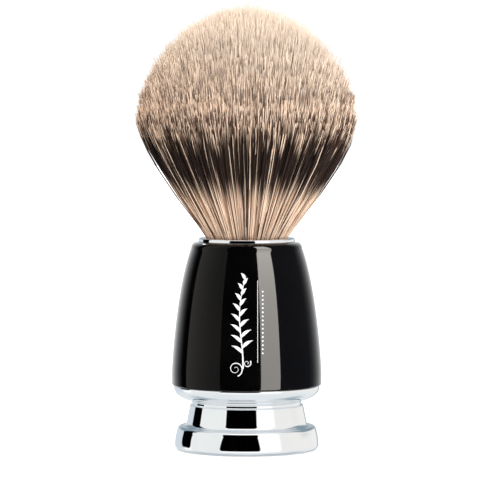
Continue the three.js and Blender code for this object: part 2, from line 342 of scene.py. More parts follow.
def turned(name, outline, finish, turns=TURNS, ring=True):
    """Turn an outline of (radius, level) in millimetres into a closed solid."""
    rims = [p for i, p in enumerate(outline) if (Vector(p) - Vector(outline[i - 1])).length > 1e-4]
    work = bmesh.new()
    loops = []
    for radius, level in rims:
        if radius < 1e-6:
            loops.append([work.verts.new((0, 0, level * MM))])
            continue
        loops.append([
            work.verts.new((
                radius * MM * cos(2 * pi * i / turns),
                radius * MM * sin(2 * pi * i / turns),
                level * MM))
            for i in range(turns)])
    pairs = list(zip(loops, loops[1:]))
    if ring:
        pairs.append((loops[-1], loops[0]))
    for lower, upper in pairs:
        for i in range(turns):
            j = (i + 1) % turns
            corners = [lower[i % len(lower)], lower[j % len(lower)],
                       upper[j % len(upper)], upper[i % len(upper)]]
            corners = list(dict.fromkeys(corners))
            if len(corners) > 2:
                work.faces.new(corners)
    bmesh.ops.recalc_face_normals(work, faces=work.faces)
    mesh_data = bpy.data.meshes.new(name)
    work.to_mesh(mesh_data)
    work.free()
    mesh_data.shade_smooth()
    mesh_data.set_sharp_from_angle(angle=SHARP)
    return piece_from(mesh_data, name, finish)


def shader_group(name, outputs, **defaults):
    """A shader node group with named number inputs and outputs, and its input sockets."""
    group = bpy.data.node_groups.new(name, "ShaderNodeTree")
    for label, value in defaults.items():
        made = group.interface.new_socket(
            label.replace("_", " "), in_out="INPUT", socket_type="NodeSocketFloat")
        made.default_value = value
    for label in outputs:
        group.interface.new_socket(label, in_out="OUTPUT", socket_type="NodeSocketFloat")
    return group, put(group, "NodeGroupInput").outputs


def handling_marks():
    """Shader group: broad smears and fine hairline rubs that a hand or a cloth leaves."""
    group, given = shader_group(
        "handling marks", ("Roughness", "Rub"), Smear_Size=220.0, Rub_Size=2600.0, Low=0.03, High=0.08)
    place = object_place(group)
    smear = put(group, "ShaderNodeTexNoise", {0: place, 2: given[0], 3: 3.0, 4: 0.6}).outputs[0]
    drawn_out = arrows("MULTIPLY", place, (1.0, 1.0, 0.12)).outputs[0]
    fine = ramp(noise(drawn_out, given[1]), 0.55, 0.75)
    share = calc("MULTIPLY_ADD", fine, 0.35, ramp(smear, 0.35, 0.8))
    put(group, "NodeGroupOutput", (ramp(share, 0.0, 1.3, given[2], given[3], smooth=False), fine))
    return group


marks = handling_marks()


def worn(shader, low, high, smear, rub):
    """Feed a shader's roughness from the handling marks."""
    node = put(shader.id_data, "ShaderNodeGroup", node_tree=marks)
    for place, value in enumerate((smear, rub, low, high)):
        node.inputs[place].default_value = value
    shader.id_data.links.new(node.outputs[0], shader.inputs["Roughness"])
    return node.outputs[1]


black_cast_resin, tree, shader = blank_finish("black cast resin", IOR=1.53)
rub = worn(shader, 0.035, 0.075, 160.0, 2200.0)
cloud = ramp(noise(object_place(tree), 70.0, 4.0), 0.3, 0.75)
depth = mixed(cloud, (0.0003, 0.0003, 0.0004, 1), (0.0008, 0.0007, 0.0007, 1))
paint(shader, times(rub, 0.3), depth, (0.0015, 0.0015, 0.0015, 1))

barrel_side = swoop([(18.83, 19.0), (18.83, 20.98), (17.68, 40.17), (13.95, 50.5)], 40)
barrel = turned("barrel_shell", [
    (2.7, 14.9), (14.65, 14.9), (14.85, 15.1), (14.85, 16.6), (17.15, 16.6), (17.15, 16.1),
    *arc(18.33, 16.6, 0.5, -90, 0),
    *barrel_side,
    *arc(12.35, 50.5, 1.6, 0, 90, 16)[1:],
    (11.5, 52.1), (11.5, 38.6), (6.6, 38.6), (6.6, 26.6), (2.7, 26.6),
], black_cast_resin)
cast.objects.link(barrel)
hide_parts("barrel")
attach(barrel, "handle")

# ---- Printed sprig on the barrel -----------------------------------------------------------
# A pad-printed mark of silver-white ink on the front: a curling sprig of leaves, a fine rule and
# a row of dots. The film of ink follows the barrel and stands only just proud of it.

print_ink, tree, shader = blank_finish("silver white ink")
worn(shader, 0.3, 0.45, 900.0, 6000.0)
speck = ramp(noise(object_place(tree), 5200.0), 0.3, 0.62)
paint(shader, speck, (0.5, 0.5, 0.49, 1), (0.86, 0.86, 0.85, 1))


def shape(group, kind, wires=(), **settings):
    """Add a geometry node and return its first output."""
    return put(group, "GeometryNode" + kind, wires, **settings).outputs[0]


def geometry_tree(name, **defaults):
    """A geometry tree with named inputs, and the output sockets of its input node by name."""
    group = bpy.data.node_groups.new(name, "GeometryNodeTree")
    group.interface.new_socket("Geometry", in_out="INPUT", socket_type="NodeSocketGeometry")
    for label, value in defaults.items():
        kind = {int: "NodeSocketInt", float: "NodeSocketFloat", tuple: "NodeSocketVector"}.get(
            type(value), "NodeSocketObject" if isinstance(value, bpy.types.Object) else "NodeSocketMaterial")
        made = group.interface.new_socket(label.replace("_", " "), in_out="INPUT", socket_type=kind)
        if kind not in ("NodeSocketObject", "NodeSocketMaterial"):
            made.default_value = value
    group.interface.new_socket("Geometry", in_out="OUTPUT", socket_type="NodeSocketGeometry")
    given = put(group, "NodeGroupInput").outputs
    return group, {label: given[label.replace("_", " ")] for label in defaults}


def finish_tree(group, geometry, material):
    """End a geometry tree in Realize Instances and Set Material."""
    real = shape(group, "RealizeInstances", (geometry,))
    covered = shape(group, "SetMaterial", {0: real, 2: material})
    put(group, "NodeGroupOutput", (covered,))


def grown(name, group, **values):
    """Run a geometry tree with the given inputs and keep its result as a plain mesh piece."""
    piece = bpy.data.objects.new(name, bpy.data.meshes.new(name))
    scene.collection.objects.link(piece)
    grower = piece.modifiers.new("grower", "NODES")
    grower.node_group = group
    identifiers = {item.name: item.identifier for item in group.interface.items_tree
                   if item.in_out == "INPUT"}
    for label, value in values.items():
        grower[identifiers[label.replace("_", " ")]] = value
    graph = bpy.context.evaluated_depsgraph_get()
    solid = bpy.data.meshes.new_from_object(
        piece.evaluated_get(graph), preserve_all_data_layers=True, depsgraph=graph)
    piece.modifiers.remove(grower)
    piece.data = solid
    solid.name = name
    return piece


def keep(group, geometry, label, value, kind_of="FLOAT", domain="POINT"):
    """Store a named value on a geometry, for nodes further on."""
    wires = {0: geometry, 2: label, 3: value}
    return shape(group, "StoreNamedAttribute", wires, data_type=kind_of, domain=domain)


def kept(group, label, kind_of="FLOAT"):
    return shape(group, "InputNamedAttribute", (label,), data_type=kind_of)


def print_tree(finish, surface):
    """Geometry tree for the print: strokes drawn flat, then laid on the barrel."""
    group, given = geometry_tree(
        "printed sprig", Barrel=surface, Leaves=15, Leaf_Length=0.0032, Stroke=0.00015, Leaf_Width=0.0004,
        Dots=16, Dot_Radius=0.00022, Ink_Height=0.00002, Finish=finish)

    def factor():
        return put(group, "GeometryNodeSplineParameter").outputs["Factor"]

    def stroke(curve, width, steps):
        """Give a curve its width at each point."""
        drawn = shape(group, "ResampleCurve", {"Curve": curve, "Count": steps})
        return keep(group, drawn, "stroke", width)

    def bent(*points):
        """A Bezier curve on the flat through points in millimetres."""
        ends = [(x * MM, 0.0, z * MM) for x, z in points]
        wires = dict(zip(("Start", "Start Handle", "End Handle", "End"), ends), Resolution=32)
        return shape(group, "CurvePrimitiveBezierSegment", wires)

    # Stem, thick low down and fine at its top. Its lowest part has no leaves.
    stem = bent((-0.9, 21.7), (-0.7, 30.0), (-3.2, 33.0), (-0.4, 43.4))
    stem_line = stroke(stem, times(ramp(factor(), 0.0, 1.0, 1.2, 0.45), given["Stroke"]), 48)
    leafy = shape(group, "TrimCurve", {"Curve": stem, "Start": 0.17, "End": 1.0})
    # Leaves, in turn to the left and right, smaller towards the tip.
    leaf = bent((0.0, 0.0), (0.35, 0.16), (0.7, 0.14), (1.0, 0.0))
    leaf = shape(group, "Transform", {"Geometry": leaf, "Scale": (1 / MM, 1 / MM, 1 / MM)})
    belly = calc("SINE", times(calc("POWER", factor(), 0.8), pi))
    belly = calc("POWER", calc("MAXIMUM", belly, 0.0), 1.2)
    leaf = stroke(leaf, times(plus(belly, 0.06), given["Leaf_Width"]), 18)
    anchors = shape(group, "CurveToPoints", {"Curve": leafy, "Count": given["Leaves"]}, mode="COUNT")
    index = shape(group, "InputIndex")
    side = calc("MULTIPLY_ADD", calc("MODULO", index, 2.0), 2.0, -1.0)
    up = over(index, given["Leaves"])
    turn = calc("MULTIPLY_ADD", side, ramp(up, 0.0, 1.0, 0.95, 0.55), -pi / 2)
    size = times(given["Leaf_Length"], ramp(up, 0.0, 1.0, 1.05, 0.6))
    leaves = shape(group, "InstanceOnPoints", {
        "Points": anchors, "Instance": leaf, "Rotation": spot(0.0, turn, 0.0),
        "Scale": spot(size, size, times(size, side))})
    leaves = shape(group, "RealizeInstances", (leaves,))

    def curl(x, z, start, end, turns_of, angle, mirrored=False):
        """An open spiral that thins out towards its centre, in millimetres, turns and degrees."""
        wound = shape(group, "CurveSpiral", {
            "Resolution": 32, "Rotations": turns_of, "Height": 0.0,
            "Start Radius": start * MM, "End Radius": end * MM})
        wound = shape(group, "Transform", {
            "Geometry": wound, "Translation": (x * MM, 0.0, z * MM),
            "Rotation": (pi / 2, radians(angle), 0.0), "Scale": (-1.0 if mirrored else 1.0, 1.0, 1.0)})
        return stroke(wound, times(ramp(factor(), 0.0, 1.0, 0.35, 0.95), given["Stroke"]), 56)

    # Curls at the foot of the sprig, and the rule beside it.
    curls = [curl(-2.75, 21.7, 0.3, 1.85, 1.6, 216), curl(0.1, 23.1, 0.2, 1.0, 1.3, -108, mirrored=True)]
    rule = bent((2.7, 23.2), (2.7, 30.0), (2.7, 37.0), (2.7, 43.2))
    rule = stroke(rule, times(given["Stroke"], 0.45), 40)
    joined = put(group, "GeometryNodeJoinGeometry")
    for line in (stem_line, leaves, *curls, rule):
        group.links.new(line, joined.inputs[0])
    section = shape(group, "CurvePrimitiveCircle", {"Resolution": 8, "Radius": 1.0})
    drawn = shape(group, "CurveToMesh", {
        "Curve": joined.outputs[0], "Profile Curve": section, "Scale": kept(group, "stroke"),
        "Fill Caps": True})
    # Dots in a row beyond the rule.
    row = shape(group, "MeshLine", {
        "Count": given["Dots"], "Start Location": (3.95 * MM, 0.0, 25.5 * MM), "Offset": (0.0, 0.0, MM)})
    dot = shape(group, "MeshUVSphere", {"Segments": 12, "Rings": 7, "Radius": given["Dot_Radius"]})
    dots = shape(group, "InstanceOnPoints", {"Points": row, "Instance": dot})
    dots = shape(group, "RealizeInstances", (dots,))
    both = put(group, "GeometryNodeJoinGeometry")
    group.links.new(drawn, both.inputs[0])
    group.links.new(dots, both.inputs[0])
    # Lay it all on the barrel: front faces stand proud by the ink's height, back faces sink by it.
    place = split(shape(group, "InputPosition"))
    shell = put(group, "GeometryNodeObjectInfo", {"Object": given["Barrel"]}).outputs["Geometry"]
    hit = put(group, "GeometryNodeRaycast", {
        "Target Geometry": shell, "Source Position": spot(place[0], -0.04, place[2]),
        "Ray Direction": (0.0, 1.0, 0.0), "Ray Length": 0.1})
    proud = calc("MAXIMUM", times(place[1], -8.0), times(given["Ink_Height"], -1.0))
    proud = calc("MINIMUM", proud, given["Ink_Height"])
    laid = moved(hit.outputs["Hit Position"], scaled(hit.outputs["Hit Normal"], proud))
    laid = shape(group, "SetPosition", {"Geometry": both.outputs[0], "Position": laid})
    laid = shape(group, "RemoveAttribute", {"Geometry": laid, "Name": "stroke"})
    finish_tree(group, laid, given["Finish"])
    return group


printed = grown("printed_sprig", print_tree(print_ink, barrel), Barrel=barrel, Finish=print_ink)
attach(printed, "handle")

# ---- Threaded bush in the barrel -----------------------------------------------------------
# A brass bush, knurled in two bands and pressed into the barrel with glue. It takes the collar's
# spigot from above and the tie rod from below.

FINE_STEP = 0.1


def span_of(node):
    """A CAD node's lowest level, highest level and radius in millimetres."""
    low_corner, high_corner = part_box(node)
    return low_corner.z / MM, high_corner.z / MM, high_corner.x / MM


def stepped(radius, low, high, step=FINE_STEP):
    """A straight stretch of an outline with a point at each small step."""
    count = max(1, round(abs(high - low) / step))
    return [(radius, low + (high - low) * i / count) for i in range(count + 1)]


def lathe_rings():
    """Shader group: the fine turned rings that a cutting tool leaves round a piece."""
    group, given = shader_group("lathe rings", ("Height", "Dull"), Ring_Size=9000.0)
    x, y, z = split(object_place(group))
    out = calc("SQRT", plus(times(x, x), times(y, y)))
    across = times(plus(out, times(z, 1.3)), given[0])
    rings = put(group, "ShaderNodeTexNoise", {
        "W": across, "Scale": 1.0, "Detail": 3.0}, noise_dimensions="1D").outputs[0]
    stain = noise(object_place(group), 350.0, 3.0)
    put(group, "NodeGroupOutput", (rings, ramp(stain, 0.35, 0.7)))
    return group


def embossed(shader, height, strength, distance):
    """Feed a shader's normal from a height."""
    wires = {"Strength": strength, "Distance": distance, "Height": height}
    bump = put(shader.id_data, "ShaderNodeBump", wires)
    shader.id_data.links.new(bump.outputs[0], shader.inputs["Normal"])


rings_group = lathe_rings()


def metal(name, bright, dull, low, high):
    """A turned metal finish: two tones, tool rings in its bump and its roughness."""
    finish, tree, shader = blank_finish(name, Metallic=1.0)
    cut = put(tree, "ShaderNodeGroup", node_tree=rings_group)
    paint(shader, cut.outputs[1], bright, dull)
    tree.links.new(ramp(cut.outputs[0], 0.3, 0.7, low, high), shader.inputs["Roughness"])
    embossed(shader, cut.outputs[0], 0.35, 0.00002)
    return finish


turned_brass = metal("turned brass", (0.68, 0.47, 0.17, 1), (0.45, 0.29, 0.10, 1), 0.22, 0.38)


def cut_tree():
    """Geometry tree that cuts a thread or a knurl into a turned blank."""
    group, given = geometry_tree(
        "cut thread or knurl", Blank=barrel, Low=0.0, High=0.01, Least_Radius=0.002, Pitch=0.0008,
        Starts=1.0, Depth=0.0003, Finish=turned_brass)
    blank = put(group, "GeometryNodeObjectInfo", {"Object": given["Blank"]}).outputs["Geometry"]
    place = shape(group, "InputPosition")
    x, y, z = split(place)
    out = arrows("LENGTH", spot(x, y, 0.0)).outputs["Value"]
    turn = over(calc("ARCTAN2", y, x), 2 * pi)
    climbed = over(minus(z, given["Low"]), given["Pitch"])
    phase = minus(climbed, times(turn, given["Starts"]))
    wave = calc("PINGPONG", times(phase, 2.0), 1.0)
    wave = ramp(wave, 0.12, 0.88, smooth=False)
    room = calc("MINIMUM", minus(z, given["Low"]), minus(given["High"], z))
    fade = ramp(room, 0.0, 0.0003, smooth=False)
    outer = calc("GREATER_THAN", out, given["Least_Radius"])
    sink = times(times(wave, fade), times(outer, given["Depth"]))
    sink = over(times(sink, -1.0), calc("MAXIMUM", out, 0.0001))
    shift = scaled(spot(x, y, 0.0), sink)
    cut = shape(group, "SetPosition", {"Geometry": blank, "Offset": shift})
    finish_tree(group, cut, given["Finish"])
    return group


thread_cutter = cut_tree()


def cut_from(name, blank, finish, **sizes):
    """Cut a pattern into a turned blank and keep only the cut piece."""
    piece = grown(name, thread_cutter, Blank=blank, Finish=finish, **sizes)
    bpy.data.objects.remove(blank)
    return piece


def stands_for(piece, node):
    """Let a finished piece take a CAD node's place on the handle."""
    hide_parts(node)
    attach(piece, "handle")


bush_low, bush_high, bush_radius = span_of("threaded_insert")
BORE_STEP = 32.3
EASED_EDGE = 0.4
bush_blank = turned("bush_blank", [
    (2.6, bush_low), (bush_radius - EASED_EDGE, bush_low),
    *stepped(bush_radius, bush_low + EASED_EDGE, 31.3, 0.2), (5.9, 31.6), (5.9, 33.4),
    *stepped(bush_radius, 33.7, bush_high - EASED_EDGE, 0.2), (bush_radius - EASED_EDGE, bush_high),
    (4.35, bush_high), (4.1, bush_high - 0.25), (4.1, BORE_STEP), (2.6, BORE_STEP),
], turned_brass, turns=240)
bush = cut_from(
    "knurled_bush", bush_blank, turned_brass, Low=(bush_low + EASED_EDGE) * MM,
    High=(bush_high - EASED_EDGE) * MM, Least_Radius=0.0062, Pitch=1.0, Starts=60.0, Depth=0.00025)
stands_for(bush, "threaded_insert")

# ---- Collar ------------------------------------------------------------------------------
# A brass cup turned in one piece with its lip and its threaded spigot, then chrome plated
# and polished. The spigot screws it down into the barrel.

bright_chrome, tree, shader = blank_finish("bright chrome plate", Metallic=1.0)
worn(shader, 0.02, 0.05, 240.0, 3000.0)
film = ramp(noise(object_place(tree), 120.0, 3.0), 0.3, 0.7)
paint(shader, film, (0.84, 0.86, 0.88, 1), (0.88, 0.89, 0.9, 1))

collar = turned("collar_ring", [
    (0, 33.0), (3.5, 33.0), (4.0, 33.5), (4.0, 39.0), (11.2, 39.0), (11.4, 39.2), (11.4, 52.1),
    (12.08, 52.1), (12.13, 52.16),
    *arc(11.7, 52.62, 0.38, 6, 90, 12),
    *arc(10.65, 52.85, 0.15, 90, 180, 4),
    (10.5, 40.5), (0, 40.5),
], bright_chrome, ring=False)
plated.objects.link(collar)
stands_for(collar, "collar_cup")


def cast_grain():
    """Shader group: the fine pitted skin of a moulding or a casting, with paler patches."""
    group, given = shader_group("cast grain", ("Height", "Patch"), Grain_Size=3000.0, Patch_Size=300.0)
    place = object_place(group)
    pits = put(group, "ShaderNodeTexVoronoi", {"Vector": place, "Scale": given[0]}).outputs[0]
    height = plus(times(pits, 0.5), noise(place, given[0], 4.0))
    put(group, "NodeGroupOutput", (height, ramp(noise(place, given[1], 3.0), 0.3, 0.7)))
    return group


grain_group = cast_grain()


def moulded(name, dark, pale, low, high, grain=3000.0, patch=300.0, depth=0.00003, metallic=0.0):
    """A moulded, cast or pressed finish: two close tones over a grainy skin."""
    finish, tree, shader = blank_finish(name, Metallic=metallic)
    skin = put(tree, "ShaderNodeGroup", node_tree=grain_group)
    skin.inputs[0].default_value, skin.inputs[1].default_value = grain, patch
    paint(shader, skin.outputs[1], dark, pale)
    tree.links.new(ramp(skin.outputs[0], 0.3, 1.1, low, high), shader.inputs["Roughness"])
    embossed(shader, skin.outputs[0], 0.6, depth)
    return finish


seal_rubber = moulded("black seal rubber", (0.012, 0.012, 0.012, 1), (0.024, 0.023, 0.022, 1), 0.5, 0.75)


def washer_outline(node, inner, soften=0.12):
    """Outline of a flat ring as tall and wide as its CAD node, with its edges taken off."""
    low, high, radius = span_of(node)
    return [(inner, low), *arc(radius - soften, low + soften, soften, -90, 0, 4),
            *arc(radius - soften, high - soften, soften, 0, 90, 4), (inner, high)]


stands_for(turned("cup_gasket", washer_outline("cup_washer", 6.8), seal_rubber), "cup_washer")

# ---- Hair knot ---------------------------------------------------------------------------
# Tens of thousands of long soft hairs, set tip by tip in a bulb mould, tied and glued. Each
# hair is fine at both ends, pale at the tip, with one dark band a little above the collar.

HAIRS = 30600
BUNDLES = 9
HAIR_RADIUS = 0.000125
# The strand's own map: across it are 16 shades by 16 shifts of the band, and up it is the
# distance along the hair, which starts 10 mm below the collar's mouth.
SHADES = 16
SHIFTS = 16
MAP_LENGTH = 0.07
MAP_START = 0.01
plug_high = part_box("knot_plug")[1].z
collar_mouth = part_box("collar_cup")[1].z


def banded_hair():
    """Hair colour along its length, from the strand's own map. Levels are in millimetres."""
    finish, tree, shader = blank_finish("banded hair", Roughness=0.42, Specular_IOR_Level=0.25)
    along = put(tree, "ShaderNodeUVMap", uv_map="OFBake").outputs[0]
    across, up = split(along)[:2]
    column = calc("FLOOR", times(across, float(SHADES * SHIFTS)))
    shift = over(calc("MODULO", column, float(SHIFTS)), SHIFTS - 1.0)
    shade = over(calc("FLOOR", over(column, float(SHIFTS))), SHADES - 1.0)
    from_mouth = calc("MULTIPLY_ADD", up, MAP_LENGTH / MM, -MAP_START / MM)
    slid = calc("MULTIPLY_ADD", minus(shift, 0.5), -9.0, from_mouth)
    ragged = put(tree, "ShaderNodeTexWhiteNoise", {"W": column}, noise_dimensions="1D").outputs[0]
    upper = calc("MULTIPLY_ADD", minus(ragged, 0.5), 6.0, slid)

    # Root: tan to cream, with a share of hairs dark brown all the way down.
    tan_root = mixed(ramp(shade, 0.25, 0.85), (0.46, 0.26, 0.155, 1), (0.99, 0.77, 0.59, 1))
    root = mixed(ramp(shade, 0.2, 0.4), (0.07, 0.034, 0.024, 1), tan_root)
    # Tip: cream, with brown streaks that come and go along the hair and fade towards the crown. The streaks
    # are partly the hair's own markings and partly painted shade, standing in for the shadows between the
    # tips.
    drawn_out = spot(times(shift, 11.0), times(from_mouth, 0.17), 0.0)
    blot = put(tree, "ShaderNodeTexNoise", {
        "Vector": drawn_out, "Scale": 1.0, "Detail": 0.0}, noise_dimensions="2D").outputs[0]
    blot = ramp(blot, 0.28, 0.72, smooth=False)
    streak_and_shade_level = calc("MULTIPLY_ADD", blot, 0.72, times(shade, 0.28))
    streak_and_shade = ramp(streak_and_shade_level, 0.37, 0.53, 1.0, 0.0)
    fading = ramp(from_mouth, 30.0, 57.0, 1.0, 0.06)
    cream = mixed(ramp(from_mouth, 26.0, 54.0), (0.97, 0.72, 0.53, 1), (1.0, 0.86, 0.72, 1))
    # Painted shade: the dark streak colour also stands in for the shadow between hair tips.
    tip = mixed(times(streak_and_shade, fading), cream, (0.10, 0.045, 0.028, 1))
    # Band: nearly black, missing on the palest hairs.
    rising = ramp(slid, 11.0, 18.0)
    falling = ramp(upper, 27.0, 33.3, 1.0, 0.0)
    banded = ramp(shade, 0.82, 0.9, 1.0, 0.0)
    dark = mixed(shade, (0.003, 0.0025, 0.0025, 1), (0.06, 0.034, 0.025, 1))
    body = mixed(ramp(slid, 18.0, 27.0), root, tip)
    paint(shader, times(rising, falling, banded), body, dark)
    return finish


def hair_tree(finish):
    """Geometry tree for one bundle: roots on a golden-angle spiral, each hair a swept curve."""
    group, given = geometry_tree(
        "hair bundle", First_Hair=0, Hairs=100, All_Hairs=1000, Seed=7, Root_Radius=0.0088,
        Mouth_Radius=0.0101, Plug_Level=0.0431, Tie_Level=0.0465, Mouth_Level=0.053,
        Widest_Level=0.083, Bulb_Radius=0.0269, Crown_Rise=0.0279, Fullness=1.07, Bow=0.077,
        Tuck=0.076, Loose_Bow=0.0035, Wander=0.0008, Unevenness=0.2, Hair_Radius=HAIR_RADIUS,
        Lock_Size=0.0017, Finish=finish)
    number = plus(shape(group, "InputIndex"), given["First_Hair"])

    def chance(low, high, salt):
        """A random number for each hair, a different one for each salt."""
        node = put(group, "FunctionNodeRandomValue", {
            "Min_001": low, "Max_001": high, "ID": number, "Seed": plus(given["Seed"], float(salt))},
            data_type="FLOAT")
        return socket(node.outputs, "Value_001")

    def patchy(place, scale, detail):
        return ramp(noise(place, scale, detail), 0.3, 0.7, smooth=False)

    # Where each hair stands: rho is its share of the way from the knot's middle to its rim.
    GOLDEN_ANGLE = 2.399963
    rho = calc("SQRT", over(plus(number, 0.5), given["All_Hairs"]))
    rho = plus(rho, chance(-0.035, 0.035, 1))
    rho = calc("MAXIMUM", calc("MINIMUM", rho, 1.0), 0.0)
    bearing = calc("MULTIPLY_ADD", number, GOLDEN_ANGLE, chance(-0.12, 0.12, 2))
    out = spot(calc("COSINE", bearing), calc("SINE", bearing), 0.0)
    flat = scaled(out, rho)
    mouth = moved(scaled(flat, given["Mouth_Radius"]), spot(0.0, 0.0, given["Mouth_Level"]))

    # Where the tip falls on the crown, drawn together into small locks.
    rho_squared = times(rho, rho)
    tip_radius = times(rho, calc("SQRT", minus(2.0, rho_squared)))
    tip_radius = times(calc("POWER", tip_radius, given["Fullness"]), given["Bulb_Radius"])
    level = calc("POWER", minus(1.0, rho_squared), given["Fullness"])
    level = calc("MULTIPLY_ADD", level, given["Crown_Rise"], given["Widest_Level"])
    tip = moved(scaled(out, tip_radius), spot(0.0, 0.0, level))
    cells = put(group, "ShaderNodeTexVoronoi", {"Vector": tip, "Scale": over(1.0, given["Lock_Size"])})
    to_lock = arrows("SUBTRACT", cells.outputs["Position"], tip).outputs[0]
    lock_pull = scaled(to_lock, chance(0.1, 0.7, 3))

    # Handles of the hair's curve. It bows outward, and a few hairs have sprung loose and bow more.
    chord = arrows("SUBTRACT", tip, mouth).outputs[0]
    reach = arrows("LENGTH", chord).outputs["Value"]
    LOWER_HANDLE = 0.69
    bow = times(reach, times(times(rho, given["Bow"]), LOWER_HANDLE))
    loose = times(calc("POWER", chance(0.0, 1.0, 10), 14.0), given["Loose_Bow"])
    handle_a = moved(mouth, scaled(chord, LOWER_HANDLE), scaled(out, plus(bow, loose)))
    tuck = times(reach, times(calc("POWER", rho, 4.0), given["Tuck"]))
    handle_b = moved(tip, scaled(chord, -0.157), scaled(out, tuck))

    # Length, lean, and the hair's shade, its band's shift and its thickness.
    rough_cut = calc("POWER", chance(0.0, 1.0, 4), 1.8)
    length = minus(1.0, times(rough_cut, given["Unevenness"]))
    stray = calc("GREATER_THAN", chance(0.0, 1.0, 5), 0.985)
    length = calc("MULTIPLY_ADD", stray, 0.012, length)
    wires = {"Min": (-1.0, -1.0, -0.3), "Max": (1.0, 1.0, 0.3), "ID": number, "Seed": 21}
    wander = put(group, "FunctionNodeRandomValue", wires, data_type="FLOAT_VECTOR")
    wander = scaled(socket(wander.outputs, "Value"), given["Wander"])
    shift = plus(
        times(patchy(mouth, 900.0, 1.5), 0.3), times(patchy(tip, 1500.0, 1.0), 0.58),
        times(chance(0.0, 1.0, 6), 0.12))
    shade = plus(
        times(patchy(moved(mouth, (0.1, 0.2, 0.3)), 8000.0, 0.0), 0.3),
        times(chance(0.0, 1.0, 7), 0.7))
    shade_step = calc("FLOOR", times(shade, SHADES - 0.01))
    shift_step = calc("FLOOR", times(shift, SHIFTS - 0.01))
    kind = calc("MULTIPLY_ADD", shade_step, float(SHIFTS), shift_step)
    girth = times(given["Hair_Radius"], chance(0.7, 1.5, 8))

    # Plant a line of eight points on each root, and carry the hair's values over to it.
    places = {"flat": flat, "mouth": mouth, "handle a": handle_a, "handle b": handle_b, "tip": tip,
              "lock": lock_pull, "wander": wander}
    numbers = {"cut": length, "kind": kind, "girth": girth}
    roots = shape(group, "Points", {0: given["Hairs"]})
    for label, value in places.items():
        roots = keep(group, roots, label, value, "FLOAT_VECTOR")
    for label, value in numbers.items():
        roots = keep(group, roots, label, value)
    line = shape(group, "CurvePrimitiveLine", {})
    line = shape(group, "ResampleCurve", {"Curve": line, "Count": 8})
    planted = shape(group, "InstanceOnPoints", {"Points": roots, "Instance": line})
    strands = shape(group, "RealizeInstances", (planted,))
    held = {label: kept(group, label, "FLOAT_VECTOR") for label in places}

    # The first two points stay in the plug and the binding. The rest run from mouth to tip.
    step = calc("ROUND", times(put(group, "GeometryNodeSplineParameter").outputs["Factor"], 7.0))
    t = calc("MAXIMUM", over(minus(step, 2.0), 5.0), 0.0)
    t = times(t, kept(group, "cut"))
    u = minus(1.0, t)
    path = moved(
        moved(scaled(held["mouth"], times(u, u, u)),
                     scaled(held["handle a"], times(u, u, t, 3.0))),
        moved(scaled(held["handle b"], times(u, t, t, 3.0)),
              scaled(held["tip"], times(t, t, t))),
        scaled(held["lock"], times(t, t)), scaled(held["wander"], t))
    inside = scaled(held["flat"], given["Root_Radius"])
    for limit, level in ((1.5, "Tie_Level"), (0.5, "Plug_Level")):
        path = shape(group, "Switch", {
            "Switch": calc("LESS_THAN", step, limit), "False": path,
            "True": moved(inside, spot(0.0, 0.0, given[level]))}, input_type="VECTOR")
    shaped = shape(group, "SetPosition", {"Geometry": strands, "Position": path})

    # Sweep a three-sided section along it, fine at both ends, and lay the strand's own map.
    along = put(group, "GeometryNodeSplineParameter").outputs["Length"]
    hidden = minus(given["Mouth_Level"], given["Plug_Level"])
    shaped = keep(group, shaped, "along", plus(along, minus(MAP_START, hidden)))
    radius = times(ramp(t, 0.0, 0.45, 0.62, 1.0), ramp(t, 0.72, 1.0, 1.0, 0.4), kept(group, "girth"))
    section = shape(group, "CurvePrimitiveCircle", {"Resolution": 3, "Radius": 1.0})
    corner = shape(group, "InputIndex")
    section = keep(group, section, "side", over(corner, 2.0))
    swept = shape(group, "CurveToMesh", {
        "Curve": shaped, "Profile Curve": section, "Scale": radius, "Fill Caps": True})
    swept = shape(group, "SetShadeSmooth", {0: swept, 2: True})
    in_column = calc("MULTIPLY_ADD", kept(group, "side"), 0.6, 0.2)
    map_u = over(plus(kept(group, "kind"), in_column), float(SHADES * SHIFTS))
    map_v = over(kept(group, "along"), MAP_LENGTH)
    swept = keep(group, swept, "OFBake", spot(map_u, map_v, 0.0), "FLOAT2", "CORNER")
    for label in (*places, *numbers, "along", "side"):
        swept = shape(group, "RemoveAttribute", {"Geometry": swept, "Name": label})
    finish_tree(group, swept, given["Finish"])
    return group


hair_finish = banded_hair()
bundle_tree = hair_tree(hair_finish)
per_bundle = HAIRS // BUNDLES
for bundle in range(BUNDLES):
    hairs = grown(
        f"hair_bundle_{bundle + 1}", bundle_tree, First_Hair=bundle * per_bundle, Hairs=per_bundle,
        All_Hairs=HAIRS,
        Mouth_Level=collar_mouth, Plug_Level=plug_high, Finish=hair_finish, Hair_Radius=HAIR_RADIUS)
    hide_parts("hair_bulb", "hair_root")
    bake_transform(hairs)

# ---- Plug, ferrule and binding -------------------------------------------------------------
# The hairs' butt ends are tied with waxed cotton cord and set in amber resin, inside a moulded
# ring that is glued into the collar. None of this shows once the knot is in.

